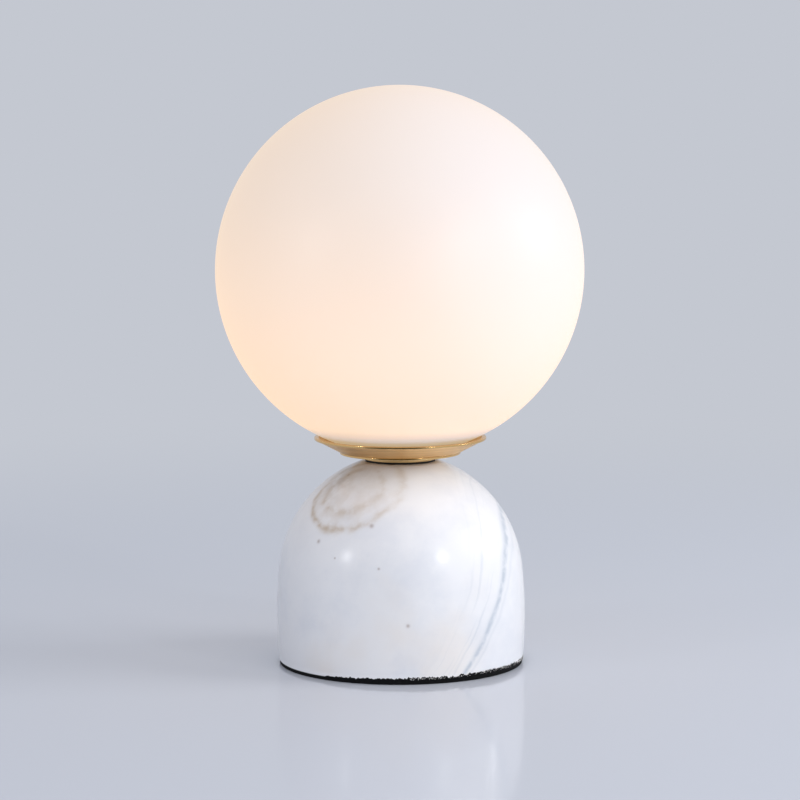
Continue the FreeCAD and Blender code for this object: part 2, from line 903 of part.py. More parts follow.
def draw_screw_circles(sketch, radius):
    """A circle at each of the block's screws, two to a pole."""
    for pole in range(POLES):
        for place in (dim.front_screw, dim.back_screw):
            draw_circle(sketch, dim.block_pitch * (pole + 0.5), place, radius)


def place_with_block(body):
    """Moves a body whose origin is the block's front left corner to the block's place."""
    bind(body, "Placement.Base.x", dim.block_pitch * POLES / -2)
    bind(body, "Placement.Base.y", dim.block_front * -1)


def make_terminal_screws():
    """The block's six clamping screws, down in their wells."""
    body = add_body("terminal_screws", dim.lead_floor + dim.lead_radius)
    sketch = add_sketch(body, "XY_Plane")
    draw_screw_circles(sketch, dim.block_screw_radius)
    extrude(body, sketch, dim.block_screw_height)
    place_with_block(body)


def route_wire(points, reach=0.45):
    """A wire of straight runs joined by tangent arcs, as large as the runs beside each turn allow."""
    edges = []
    start = points[0]
    for before, corner, after in zip(points, points[1:], points[2:]):
        back = (before - corner).normalize()
        ahead = (after - corner).normalize()
        half_turn = (math.pi - back.getAngle(ahead)) / 2
        setback = reach * min((before - corner).Length, (after - corner).Length)
        radius = setback / math.tan(half_turn)
        middle = (back + ahead).normalize() * (radius / math.cos(half_turn) - radius)
        arc = Part.Arc(corner + back * setback, corner + middle, corner + ahead * setback)
        edges.append(Part.LineSegment(start, arc.StartPoint).toShape())
        edges.append(arc.toShape())
        start = arc.EndPoint
    edges.append(Part.LineSegment(start, points[-1]).toShape())
    return Part.Wire(edges)


def make_lead(label, points):
    """An insulated lead: a circle swept along its route through the given points."""
    places = [Vector(*(sized(number).value for number in point)) for point in points]
    route = doc.addObject("Part::Feature", label + "_route")
    route.Shape = route_wire(places)
    section = doc.addObject("Part::Circle", label + "_section")
    bind(section, "Radius", dim.lead_radius)
    section.Placement = Placement(places[0], Rotation(Vector(0, 0, 1), places[1] - places[0]))
    lead = doc.addObject("Part::Sweep", label)
    lead.Label = label
    lead.Sections = [section]
    lead.Spine = (route, [f"Edge{number + 1}" for number in range(len(route.Shape.Edges))])
    lead.Solid = True
    lead.Frenet = False
    sub_parts.append(lead)
    doc.recompute()
    expected = math.pi * dim.lead_radius.value**2 * route.Shape.Length
    print(f"{label}: volume {lead.Shape.Volume:.1f}, section times length {expected:.1f}")


def make_leads():
    """Live and neutral run from the block up the rod to the contacts, earth to its tag under the nut."""
    floor = dim.lead_floor
    block_back = dim.block_depth - dim.block_front
    tail = block_back - dim.lead_tail
    above_rod = dim.rod_top + dim.lead_rise
    for label, side in (("lead_live", -1), ("lead_neutral", 1)):
        pole = dim.block_pitch * side
        make_lead(
            label,
            [
                (pole, tail, floor),
                (pole, block_back + dim.lead_tail, floor),
                (dim.lead_reach * side, 0, floor),
                (dim.lead_reach * side, 0, above_rod),
                (dim.pin_reach * side, 0, above_rod + dim.lead_spread),
                (dim.pin_reach * side, 0, CONTACT_FOOT),
            ],
        )
    tab = dim.tag_reach - dim.tag_width / 2
    turn = dim.rod_top + dim.earth_rise
    make_lead(
        "lead_earth",
        [
            (0, tail, floor),
            (0, dim.earth_reach, floor),
            (0, dim.earth_reach, turn),
            (0, tab, turn),
            (0, tab, STAR_FOOT),
        ],
    )


make_foot_pad()
make_marble_base()
make_cord_bushing()
make_central_rod()
make_nut("rod_nut", ROD_NUT_FOOT)
make_nut("top_nut", TOP_NUT_FOOT)
make_lock_washer()
make_star_washer()
make_clamped_rings()
make_base_disc()
make_globe_dish()
make_glass_gasket()
make_globe_spring()
make_glass_globe()
make_holder_bracket()
make_earth_tag()
make_holder_plate()
make_holder_body()
make_holder_contacts()
make_bracket_screws()
make_bulb()
make_terminal_block()
make_terminal_screws()
make_leads()
doc.recompute()

for item in doc.Objects:
    if "Invalid" in item.State or "Error" in item.State:
        raise RuntimeError(f"{item.Label} failed: {item.State}")
for item in sub_parts:
    if item.Shape.isNull() or not item.Shape.isValid():
        raise RuntimeError(f"{item.Label} has no valid shape")

os.makedirs("parts", exist_ok=True)
for item in sub_parts:
    item.Shape.exportStep(f"parts/{item.Label}.step")
    box = item.Shape.BoundBox
    print(
        f"{item.Label:16s} solids {len(item.Shape.Solids)} faces {len(item.Shape.Faces):3d}"
        f"  x {box.XMin:.2f} {box.XMax:.2f}  y {box.YMin:.2f} {box.YMax:.2f}  z {box.ZMin:.2f} {box.ZMax:.2f}"
    )
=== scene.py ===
import bmesh
import bpy
import json
import math
from mathutils import Matrix, Vector, noise


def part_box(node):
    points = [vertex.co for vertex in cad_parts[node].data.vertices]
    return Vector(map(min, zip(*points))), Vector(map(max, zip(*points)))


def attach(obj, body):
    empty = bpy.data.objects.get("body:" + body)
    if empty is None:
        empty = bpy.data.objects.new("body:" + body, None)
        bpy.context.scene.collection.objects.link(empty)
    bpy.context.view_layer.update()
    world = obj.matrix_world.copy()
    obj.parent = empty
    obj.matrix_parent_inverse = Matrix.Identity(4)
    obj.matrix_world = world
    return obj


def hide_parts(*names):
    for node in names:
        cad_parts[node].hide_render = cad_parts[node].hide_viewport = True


# A glass globe table lamp: an opal glass ball, lit from inside, in a turned brass gallery on a marble dome
# with a black foam foot.  Metres, +Z up, the front is -Y.  Outlines are written in millimetres.

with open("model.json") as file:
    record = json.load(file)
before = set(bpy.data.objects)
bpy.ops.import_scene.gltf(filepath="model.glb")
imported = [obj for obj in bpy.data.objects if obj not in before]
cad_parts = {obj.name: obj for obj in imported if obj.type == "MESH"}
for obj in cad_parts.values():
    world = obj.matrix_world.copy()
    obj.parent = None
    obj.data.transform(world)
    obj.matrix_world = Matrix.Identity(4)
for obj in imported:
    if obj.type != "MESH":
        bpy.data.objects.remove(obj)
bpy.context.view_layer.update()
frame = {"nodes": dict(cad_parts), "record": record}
MM = 0.001


def foot_of(node):
    """The height of a node's lowest point, in millimetres."""
    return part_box(node)[0][2] / MM


def reach_of(node):
    """How far a round node reaches from the lamp's axis, in millimetres."""
    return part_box(node)[1][0] / MM


def top_of(node):
    """The height of a node's highest point, in millimetres."""
    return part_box(node)[1][2] / MM


def linear(level):
    """One channel as a screen shows it, 0 to 255, as the linear value that a shader takes."""
    share = level / 255
    return share / 12.92 if share <= 0.04045 else ((share + 0.055) / 1.055) ** 2.4


def tone(red, green, blue):
    """A colour as a screen shows it, 0 to 255 each, as the linear colour that a shader takes."""
    return (linear(red), linear(green), linear(blue), 1.0)


# ---------------------------------------------------------------------------------------------------
# Materials: how a finish is built
# ---------------------------------------------------------------------------------------------------
class Nodes:
    """A node tree in the making: most methods add one node and give back its output."""

    def __init__(self, tree):
        self.nodes = tree.nodes
        self.links = tree.links
        self.nodes.clear()

    def put(self, socket, value):
        """Links a socket to an output, or sets it to a plain value."""
        if isinstance(value, bpy.types.NodeSocket):
            self.links.new(value, socket)
        else:
            socket.default_value = value

    def add(self, kind, inputs, **settings):
        """A node with its settings and its inputs, which are named or numbered."""
        node = self.nodes.new(kind)
        for key, value in settings.items():
            setattr(node, key, value)
        for key, value in inputs.items():
            self.put(node.inputs[key], value)
        return node

    def math(self, operation, first, second=0.0, third=0.0):
        return self.add("ShaderNodeMath", {0: first, 1: second, 2: third}, operation=operation).outputs[0]

    def times(self, product, *factors):
        """The product of some values."""
        for factor in factors:
            product = self.math("MULTIPLY", product, factor)
        return product

    def vector(self, operation, first, second=(0.0, 0.0, 0.0)):
        return self.add("ShaderNodeVectorMath", {0: first, 1: second}, operation=operation).outputs["Vector"]

    def scalar(self, operation, first, second):
        """The plain number that two vectors give, such as their distance."""
        return self.add("ShaderNodeVectorMath", {0: first, 1: second}, operation=operation).outputs["Value"]

    def joined(self, across, back, height):
        return self.add("ShaderNodeCombineXYZ", {0: across, 1: back, 2: height}).outputs[0]

    def span(self, value, low, high, first=0.0, last=1.0):
        """A smooth step from first to last as value goes from low to high."""
        inputs = {"Value": value, "From Min": low, "From Max": high, "To Min": first, "To Max": last}
        return self.add("ShaderNodeMapRange", inputs, interpolation_type="SMOOTHSTEP").outputs[0]

    def mix(self, share, first, second):
        """Two colours mixed, share of them the second."""
        node = self.add("ShaderNodeMix", {}, data_type="RGBA")
        for socket, value in ((node.inputs[0], share), (node.inputs[6], first), (node.inputs[7], second)):
            self.put(socket, value)
        return node.outputs[2]

    def bell(self, value, width):
        """1 where the value is 0, falling to 0 within a few widths each way."""
        squared = self.math("POWER", self.math("DIVIDE", value, width), 2.0)
        return self.math("EXPONENT", self.times(squared, -1.0))


class Finish(Nodes):
    """A material in the making, laid out on the object's own coordinates in millimetres."""

    def __init__(self, name):
        self.material = bpy.data.materials.new(name)
        self.material.use_nodes = True
        super().__init__(self.material.node_tree)
        place = self.nodes.new("ShaderNodeTexCoord").outputs["Object"]
        self.place = self.vector("MULTIPLY", place, (1 / MM, 1 / MM, 1 / MM))
        parts = self.add("ShaderNodeSeparateXYZ", {"Vector": self.place})
        self.across, self.back, self.height = parts.outputs

    def noise(self, size, detail=3.0, roughness=0.5, at=None):
        """Noise from 0 to 1 with features of about size millimetres."""
        place = self.place if at is None else at
        inputs = {"Vector": place, "Scale": 1 / size, "Detail": detail, "Roughness": roughness}
        return self.add("ShaderNodeTexNoise", inputs).outputs[0]

    def bump(self, height, depth):
        """A normal from a height of 0 to 1, depth millimetres deep."""
        inputs = {"Height": height, "Distance": depth * MM, "Strength": 1.0}
        return self.add("ShaderNodeBump", inputs).outputs[0]

    def surface(self, **inputs):
        """Ends the material with the principled shader, its sockets named with underscores for spaces."""
        named = {key.replace("_", " "): value for key, value in inputs.items()}
        shader = self.add("ShaderNodeBsdfPrincipled", named)
        self.add("ShaderNodeOutputMaterial", {"Surface": shader.outputs[0]})
        return self.material


# ---------------------------------------------------------------------------------------------------
# The stone
# ---------------------------------------------------------------------------------------------------
STONE_WHITE = tone(236, 236, 238)
STONE_CLOUD = tone(222, 224, 230)
STONE_WARM = tone(232, 222, 212)
STONE_OCHRE = tone(188, 168, 142)
STONE_BROWN = tone(176, 164, 152)
STONE_VEIN = tone(178, 188, 200)
# Painted highlight: the white of the arris at the foot.
STONE_ARRIS_HIGHLIGHT = (0.97, 0.97, 0.98, 1.0)
STONE_SPECK = tone(150, 128, 118)
VEIN_TURN = (42.2, 52.0)  # where the vein's parabola is furthest right: across and up
VEIN_BEND = -0.0071
STAIN_CENTRE = (-18.0, -23.0, 74.0)
STAIN_WEDGE = (-25.0, -14.0, 76.4)
SPECKS = (
    ((-32.8, -32.3, 54.9), 0.8),
    ((-11.5, -40.5, 62.3), 0.9),
    ((-8.7, -48.1, 46.3), 0.5),
    ((2.8, -50.9, 23.9), 0.7),
    ((-26.2, -40.3, 49.4), 0.4),
    ((-21.0, -13.0, 79.0), 0.5),
)


def cloud_stone(stone):
    """White stone with cool clouds, and warm ones away from its right side."""
    clouds = stone.noise(30, detail=5, roughness=0.6)
    colour = stone.mix(stone.span(clouds, 0.42, 0.72, 0.0, 0.75), STONE_WHITE, STONE_CLOUD)
    elsewhere = stone.vector("ADD", stone.place, (37.0, 11.0, 5.0))
    warm = stone.span(stone.noise(42, detail=3, at=elsewhere), 0.5, 0.75, 0.0, 0.5)
    leftward = stone.span(stone.across, 16.0, 38.0, 1.0, 0.2)
    return stone.mix(stone.times(warm, leftward), colour, STONE_WARM)


def vein_stone(stone, colour, warp, front):
    """One vein that leans to the left as it goes down, with a fainter one and fine streaks beside it."""
    turn_across, turn_height = VEIN_TURN
    from_turn = stone.math("SUBTRACT", stone.height, turn_height)
    line = stone.math("ADD", stone.times(stone.math("POWER", from_turn, 2.0), VEIN_BEND), turn_across)
    wander = stone.times(stone.math("SUBTRACT", warp, 0.5), 3.0)
    beside = stone.math("SUBTRACT", stone.across, stone.math("ADD", line, wander))
    broken = stone.span(stone.noise(3.5, detail=3), 0.3, 0.6, 0.45, 1.0)
    vein = stone.times(stone.bell(beside, 1.1), broken)
    second = stone.times(stone.bell(stone.math("SUBTRACT", beside, 2.6), 0.7), 0.22)
    vein = stone.times(stone.math("ADD", vein, second), front)

    streak_place = stone.joined(stone.times(beside, 0.9), 0.0, stone.times(stone.height, 0.05))
    streaks = stone.span(stone.noise(1.6, detail=3, at=streak_place), 0.5, 0.75)
    left_of_vein = stone.bell(stone.math("ADD", beside, 7.0), 7.5)
    streaks = stone.times(streaks, left_of_vein, front)
    colour = stone.mix(stone.times(streaks, 0.28), colour, STONE_VEIN)
    return stone.mix(stone.times(vein, 0.75), colour, STONE_VEIN)


def stain_stone(stone, colour, warp):
    """A broken ring stain on the left shoulder, warmer outside and greyer inside."""
    out = stone.scalar("DISTANCE", stone.place, STAIN_CENTRE)
    out = stone.math("ADD", out, stone.times(stone.math("SUBTRACT", warp, 0.5), 7.0))
    ring = stone.bell(stone.math("SUBTRACT", out, 19.6), 1.7)
    inner = stone.times(stone.bell(stone.math("SUBTRACT", out, 12.5), 1.6), 0.5)
    body = stone.times(stone.span(out, 15.0, 21.0, 1.0, 0.0), 0.34)
    patchy = stone.span(stone.noise(6, detail=3, roughness=0.55), 0.32, 0.62, 0.35, 1.0)
    leftward = stone.span(stone.across, 2.0, -34.0, 0.45, 1.0)
    stain = stone.math("ADD", stone.math("ADD", ring, inner), body)
    colour = stone.mix(stone.times(stain, patchy, leftward, 0.78), colour, STONE_OCHRE)
    wedge = stone.bell(stone.scalar("DISTANCE", stone.place, STAIN_WEDGE), 6.5)
    return stone.mix(stone.times(wedge, patchy, 0.55), colour, STONE_BROWN)


def speck_stone(stone, colour):
    """Brown specks: a few at the front, and fainter ones scattered all over."""
    specks = stone.times(stone.span(stone.noise(1.1, detail=2), 0.76, 0.84), 0.2)
    for spot, size in SPECKS:
        speck = stone.bell(stone.scalar("DISTANCE", stone.place, spot), size)
        specks = stone.math("MAXIMUM", specks, speck)
    return stone.mix(stone.times(specks, 0.6), colour, STONE_SPECK)


def marble():
    """Polished white marble with faint clouds, one blue-grey vein at the right and a warm ring stain."""
    stone = Finish("white_marble")
    warp = stone.noise(14, detail=4)
    front = stone.span(stone.back, -2.0, 6.0, 1.0, 0.0)
    colour = vein_stone(stone, cloud_stone(stone), warp, front)
    colour = stain_stone(stone, colour, warp)

    # The back has only a few thin grey veins.
    cracks = stone.bell(stone.math("SUBTRACT", stone.noise(48, detail=4), 0.5), 0.010)
    behind = stone.times(stone.math("SUBTRACT", 1.0, front), 0.4)
    colour = stone.mix(stone.times(cracks, behind), colour, STONE_VEIN)
    colour = speck_stone(stone, colour)

    # The ground arris at the foot is painted whitest: a painted highlight where the edge catches the light.
    foot = foot_of("marble_base")
    arris = stone.span(stone.height, foot, foot + 2.6, 0.9, 0.0)
    colour = stone.mix(arris, colour, STONE_ARRIS_HIGHLIGHT)
    return stone.surface(
        Base_Color=colour,
        Roughness=stone.span(stone.noise(6, detail=3), 0.3, 0.7, 0.19, 0.25),
        IOR=1.5,
        Specular_IOR_Level=0.5,
        Normal=stone.bump(stone.noise(0.5, detail=2), 0.006),
    )


def stone_chip():
    """Broken stone, where the foot's edge has chipped."""
    chip = Finish("stone_chip")
    colour = chip.mix(chip.noise(0.6), tone(232, 230, 228), tone(200, 196, 190))
    return chip.surface(Base_Color=colour, Roughness=0.7, Normal=chip.bump(chip.noise(0.2), 0.05))


# ---------------------------------------------------------------------------------------------------
# The opal glass
# ---------------------------------------------------------------------------------------------------
GLOW_HIGH = (0.625, 0.40, 0.145, 1.0)
GLOW_LOW = (0.825, 0.50, 0.175, 1.0)
# Painted shade: the glow's colour where the dish blocks the bulb's light, with a painted warm bounce from the brass.
GLOW_IN_DISH_SHADE = (0.80, 0.60, 0.36, 1.0)
GLASS_COOL = (0.30, 0.42, 0.60, 1.0)


def opal_glass():
    """Satin opal glass with a painted glow for the bulb's light through it: even, stronger towards the bulb's
    height, and dimmer down in the dish.
    """
    glass = Finish("opal_glass")
    # Painted light: the glow's colour and strength follow the height of the bulb inside.
    glow_foot = foot_of("bulb_core") - 16.0
    glow_top = top_of("bulb_cover") + 42.0
    low = glass.span(glass.height, glow_foot, glow_top, 1.0, 0.0)
    mottle = glass.times(glass.math("SUBTRACT", glass.noise(24, detail=4), 0.5), 0.10)
    colour = glass.mix(glass.math("ADD", low, mottle), GLOW_HIGH, GLOW_LOW)
    rim = top_of("globe_dish")
    # Painted shade: the glow turns to that colour just above the dish's rim.
    colour = glass.mix(glass.span(glass.height, rim - 0.5, rim + 5.0), GLOW_IN_DISH_SHADE, colour)
    # The emission strength falls to about half down in the dish: painted shade.
    return glass.surface(
        Base_Color=GLASS_COOL,
        Roughness=0.42,
        IOR=1.5,
        Emission_Color=colour,
        Emission_Strength=glass.span(glass.height, rim + 0.3, rim + 7.0, 0.52, 1.0),
        Normal=glass.bump(glass.noise(0.35, detail=2), 0.004),
    )


# ---------------------------------------------------------------------------------------------------
# Metals, plastics, rubber and foam
# ---------------------------------------------------------------------------------------------------
def turned_metal(name, bright, dull, roughness, line_depth, anisotropy):
    """Metal turned on a lathe: fine rings that follow the radius and the height."""
    metal = Finish(name)
    squared = (metal.math("POWER", metal.across, 2.0), metal.math("POWER", metal.back, 2.0))
    radius = metal.math("SQRT", metal.math("ADD", *squared))
    angle = metal.math("ARCTAN2", metal.back, metal.across)
    ring_place = metal.joined(radius, metal.times(angle, 0.35), metal.height)
    rings = metal.noise(0.22, detail=3, roughness=0.7, at=ring_place)
    band_place = metal.joined(radius, metal.times(angle, 0.8), metal.height)
    bands = metal.noise(1.3, detail=2, at=band_place)
    tangent = metal.add("ShaderNodeTangent", {}, direction_type="RADIAL", axis="Z").outputs[0]
    return metal.surface(
        Base_Color=metal.mix(metal.span(bands, 0.3, 0.7), bright, dull),
        Metallic=1.0,
        Roughness=metal.span(rings, 0.25, 0.75, roughness * 0.8, roughness * 1.25),
        Anisotropic=anisotropy,
        Tangent=tangent,
        Normal=metal.bump(rings, line_depth),
    )


def plated_steel(name, colour, roughness):
    """Plated or bare sheet steel with a faint rolling grain and small stains."""
    steel = Finish(name)
    grain = steel.noise(0.5, detail=4, at=steel.vector("MULTIPLY", steel.place, (0.15, 1.0, 1.0)))
    patches = steel.noise(6, detail=4)
    darker = tuple(c * 0.72 for c in colour[:3]) + (1.0,)
    return steel.surface(
        Base_Color=steel.mix(steel.span(patches, 0.35, 0.7), colour, darker),
        Metallic=1.0,
        Roughness=steel.span(grain, 0.3, 0.7, roughness * 0.85, roughness * 1.3),
        Normal=steel.bump(grain, 0.01),
    )


def moulded(name, colour, roughness, texture=0.3, depth=0.01, tint=0.93, **extra):
    """A moulded or fired surface with a fine texture and slight unevenness of colour."""
    skin = Finish(name)
    shaded = tuple(c * tint for c in colour[:3]) + (1.0,)
    patches = skin.span(skin.noise(8, detail=3), 0.3, 0.7)
    return skin.surface(
        Base_Color=skin.mix(patches, colour, shaded),
        Roughness=skin.span(skin.noise(2, detail=2), 0.3, 0.7, roughness * 0.9, roughness * 1.1),
        Normal=skin.bump(skin.noise(texture, detail=2), depth),
        **extra,
    )


def foam():
    """Black closed-cell foam: matt, finely pitted."""
    pad = Finish("black_foam")
    cells = pad.add("ShaderNodeTexVoronoi", {"Vector": pad.place, "Scale": 3.0}).outputs["Distance"]
    colour = pad.mix(pad.noise(1.2), tone(6, 6, 7), tone(17, 17, 18))
    return pad.surface(Base_Color=colour, Roughness=0.85, Specular_IOR_Level=0.25, Normal=pad.bump(cells, 0.12))


def phosphor():
    """Yellow phosphor over the light chips, lit a little."""
    chip = Finish("phosphor")
    colour = chip.mix(chip.noise(0.8), tone(240, 206, 96), tone(226, 186, 70))
    return chip.surface(Base_Color=colour, Roughness=0.35, Emission_Color=tone(255, 224, 150), Emission_Strength=0.6)


def earth_insulation():
    """Green insulation with a yellow stripe that winds round the lead."""
    skin = Finish("earth_insulation")
    winding = skin.math("ADD", skin.times(skin.height, 0.9), skin.times(skin.across, 2.5))
    stripe = skin.span(skin.math("SINE", winding), 0.1, 0.35)
    colour = skin.mix(stripe, tone(38, 120, 52), tone(225, 205, 40))
    return skin.surface(Base_Color=colour, Roughness=0.35)


BRASS_BRIGHT = (0.86, 0.56, 0.24, 1.0)
BRASS_DULL = (0.72, 0.46, 0.19, 1.0)
STEEL_GREY = tone(196, 198, 202)

finishes = {
    "white_marble": marble(),
    "opal_glass": opal_glass(),
    "satin_brass": turned_metal("satin_brass", BRASS_BRIGHT, BRASS_DULL, 0.34, 0.012, 0.6),
    "bright_brass": plated_steel("bright_brass", (0.88, 0.68, 0.34, 1.0), 0.25),
    "zinc_steel": plated_steel("zinc_steel", STEEL_GREY, 0.3),
    "spring_steel": plated_steel("spring_steel", tone(150, 150, 155), 0.28),
    "pin_steel": plated_steel("pin_steel", tone(205, 205, 205), 0.22),
    "black_foam": foam(),
    "black_rubber": moulded("black_rubber", tone(28, 28, 29), 0.6, texture=0.5, depth=0.02),
    "clear_silicone": moulded("clear_silicone", tone(226, 226, 220), 0.35),
    "white_nylon": moulded("white_nylon", tone(232, 230, 224), 0.45),
    "white_ceramic": moulded("white_ceramic", tone(236, 233, 226), 0.5, texture=0.6, depth=0.02),
    "white_plastic": moulded("white_plastic", tone(238, 237, 233), 0.3),
    "mica_board": moulded("mica_board", tone(176, 156, 124), 0.4, texture=1.2, depth=0.03, tint=0.8),
    "lamp_board": moulded("lamp_board", tone(240, 238, 228), 0.35),
    "brown_lead": moulded("brown_lead", tone(92, 58, 40), 0.35),
    "blue_lead": moulded("blue_lead", tone(48, 92, 168), 0.35),
    "green_lead": earth_insulation(),
    "clear_cover": moulded(
        "clear_cover", tone(246, 244, 238), 0.18, depth=0.002, tint=0.99, Transmission_Weight=0.85, IOR=1.45
    ),
}
polished_brass = turned_metal("polished_brass", BRASS_BRIGHT, BRASS_BRIGHT, 0.19, 0.002, 0.0)
chip_stone = stone_chip()


# ---------------------------------------------------------------------------------------------------
# Pieces: how they are made and where they ride
# ---------------------------------------------------------------------------------------------------
slot_of = {entry["node"]: entry["material_slot"] for entry in frame["record"]["subparts"]}
bodies = frame["record"]["behaviour"]["bodies"]
body_of = {node: body for body, nodes in bodies.items() for node in nodes}
SHARP = math.radians(32)
ON_AXIS = 1e-6


def mesh_of(name, shape):
    """The mesh of a bmesh, which is then freed."""
    mesh = bpy.data.meshes.new(name)
    shape.to_mesh(mesh)
    shape.free()
    return mesh


def add_piece(name, mesh, materials):
    """A new object at the origin with its materials and smooth faces between sharp edges."""
    for material in materials:
        mesh.materials.append(material)
    mesh.shade_smooth()
    mesh.set_sharp_from_angle(angle=SHARP)
    piece = bpy.data.objects.new(name, mesh)
    bpy.context.scene.collection.objects.link(piece)
    return piece


def stand_for(piece, *nodes):
    """The piece is shown in place of CAD nodes, and rides as the first of them does."""
    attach(piece, body_of[nodes[0]])
    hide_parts(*nodes)


def go_with(piece, node):
    """The piece is a detail on a node: it rides as the node does."""
    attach(piece, body_of[node])


def arc(across, up, radius, start, end, steps):
    """Points along an arc, from one angle to another in degrees, both ends included."""
    angles = [math.radians(start + (end - start) * step / steps) for step in range(steps + 1)]
    return [(across + radius * math.cos(angle), up + radius * math.sin(angle)) for angle in angles]


def eased(corners, steps=4):
    """An outline whose corners, where they have a third number, are rounded to that radius."""
    outline = []
    for index, corner in enumerate(corners):
        if len(corner) == 2:
            outline.append(corner)
            continue
        here = Vector(corner[:2])
        back = (Vector(corners[index - 1][:2]) - here).normalized()
        ahead = (Vector(corners[(index + 1) % len(corners)][:2]) - here).normalized()
        half = back.angle(ahead) / 2
        centre = here + (back + ahead).normalized() * (corner[2] / math.sin(half))
        reach = corner[2] / math.tan(half)
        first, last = here + back * reach - centre, here + ahead * reach - centre
        for step in range(steps + 1):
            toward = first.slerp(last, step / steps).normalized()
            outline.append(tuple(centre + toward * corner[2]))
    return outline


def lathe_mesh(name, outline, turns=256):
    """A closed mesh turned about the Z axis from a closed outline of (radius, height) in millimetres."""
    shape = bmesh.new()
    rings = []
    for radius, height in outline:
        if radius < ON_AXIS:
            rings.append([shape.verts.new((0, 0, height * MM))] * turns)
            continue
        ring = []
        for turn in range(turns):
            angle = 2 * math.pi * turn / turns
            across, back = radius * MM * math.cos(angle), radius * MM * math.sin(angle)
            ring.append(shape.verts.new((across, back, height * MM)))
        rings.append(ring)
    for lower, upper in zip(rings, rings[1:] + rings[:1]):
        if lower[0] is lower[1] and upper[0] is upper[1]:
            continue
        for turn in range(turns):
            after = (turn + 1) % turns
            corners = [lower[turn], lower[after], upper[after], upper[turn]]
            shape.faces.new(list(dict.fromkeys(corners)))
    bmesh.ops.recalc_face_normals(shape, faces=shape.faces)
    return mesh_of(name, shape)


def carved(mesh, cutter):
    """The mesh with the cutter's volume taken away."""
    body = bpy.data.objects.new("carved", mesh)
    tool = bpy.data.objects.new("cutter", cutter)
    for item in (body, tool):
        bpy.context.scene.collection.objects.link(item)
    cut = body.modifiers.new("cut", "BOOLEAN")
    cut.object = tool
    cut.solver = "EXACT"
    result = bpy.data.meshes.new_from_object(body.evaluated_get(bpy.context.evaluated_depsgraph_get()))
    for item in (body, tool):
        bpy.data.objects.remove(item)
    return result



def new_tree(name, inputs):
    """A geometry tree with a geometry input and output and some named inputs."""
    tree = bpy.data.node_groups.new(name, "GeometryNodeTree")
    tree.interface.new_socket("Geometry", in_out="INPUT", socket_type="NodeSocketGeometry")
    for label, kind in inputs.items():
        tree.interface.new_socket(label, in_out="INPUT", socket_type=kind)
    tree.interface.new_socket("Geometry", in_out="OUTPUT", socket_type="NodeSocketGeometry")
    return tree
def finish_tree(made, instances, material):
    """Makes instances real, gives them their material and ends the tree."""
    real = made.add("GeometryNodeRealizeInstances", {"Geometry": instances}).outputs[0]
    done = made.add("GeometryNodeSetMaterial", {"Geometry": real, "Material": material}).outputs[0]
    made.add("NodeGroupOutput", {0: done})


def crumbs_tree():
    """Scatters small rough crumbs over a surface, in clumps."""
    named = {"Density": "NodeSocketFloat", "Clump Size": "NodeSocketFloat", "Crumb": "NodeSocketFloat"}
    tree = new_tree("crumbs", {**named, "Seed": "NodeSocketInt", "Material": "NodeSocketMaterial"})
    made = Nodes(tree)
    given = made.add("NodeGroupInput", {}).outputs
    scale = made.math("DIVIDE", 1 / MM, given["Clump Size"])
    clumps = made.add("ShaderNodeTexNoise", {"Scale": scale, "Detail": 2.0}).outputs[0]
    chosen = made.add("FunctionNodeCompare", {0: clumps, 1: 0.5}, operation="GREATER_THAN").outputs[0]
    places = {"Mesh": given["Geometry"], "Selection": chosen, "Density": given["Density"], "Seed": given["Seed"]}
    points = made.add("GeometryNodeDistributePointsOnFaces", places).outputs["Points"]
    radius = made.times(given["Crumb"], MM)
    crumb = made.add("GeometryNodeMeshIcoSphere", {"Radius": radius, "Subdivisions": 1}).outputs["Mesh"]
    turns = {0: (0, 0, 0), 1: (6.3, 6.3, 6.3)}
    turn = made.add("FunctionNodeRandomValue", turns, data_type="FLOAT_VECTOR").outputs[0]
    sizes = {0: (0.4, 0.4, 0.3), 1: (1.5, 1.1, 0.9)}
    size = made.add("FunctionNodeRandomValue", sizes, data_type="FLOAT_VECTOR").outputs[0]
    spread = {"Points": points, "Instance": crumb, "Rotation": turn, "Scale": size}
    crumbs = made.add("GeometryNodeInstanceOnPoints", spread).outputs[0]
    finish_tree(made, crumbs, given["Material"])
    return tree


def rows_tree():
    """Repeats what it is given up a column."""
    named = {"Rows": "NodeSocketInt", "Pitch": "NodeSocketFloat", "Material": "NodeSocketMaterial"}
    tree = new_tree("rows", named)
    made = Nodes(tree)
    given = made.add("NodeGroupInput", {}).outputs
    step = made.add("ShaderNodeCombineXYZ", {2: given["Pitch"]}).outputs[0]
    column = made.add("GeometryNodeMeshLine", {"Count": given["Rows"], "Offset": step}).outputs[0]
    spread = {"Points": column, "Instance": given["Geometry"]}
    finish_tree(made, made.add("GeometryNodeInstanceOnPoints", spread).outputs[0], given["Material"])
    return tree


def grown(mesh, tree, inputs):
    """The mesh that a geometry tree makes of a mesh."""
    host = bpy.data.objects.new("host", mesh)
    bpy.context.scene.collection.objects.link(host)
    nodes = host.modifiers.new("nodes", "NODES")
    nodes.node_group = tree
    sockets = {item.name: item.identifier for item in tree.interface.items_tree if item.in_out == "INPUT"}
    for label, value in inputs.items():
        nodes[sockets[label]] = value
    result = bpy.data.meshes.new_from_object(host.evaluated_get(bpy.context.evaluated_depsgraph_get()))
    bpy.data.objects.remove(host)
    return result


def smooth_copy(node):
    """The CAD node's own shape with its triangles joined up, so that its round faces shade smoothly."""
    shape = bmesh.new()
    shape.from_mesh(frame["nodes"][node].data)
    bmesh.ops.remove_doubles(shape, verts=shape.verts, dist=0.001 * MM)
    name = node + "_skin"
    piece = add_piece(name, mesh_of(name, shape), [finishes[slot_of[node]]])
    stand_for(piece, node)


# ---------------------------------------------------------------------------------------------------
# The ball, the stone and the gallery
# ---------------------------------------------------------------------------------------------------
ROD_HOLE = 5.1


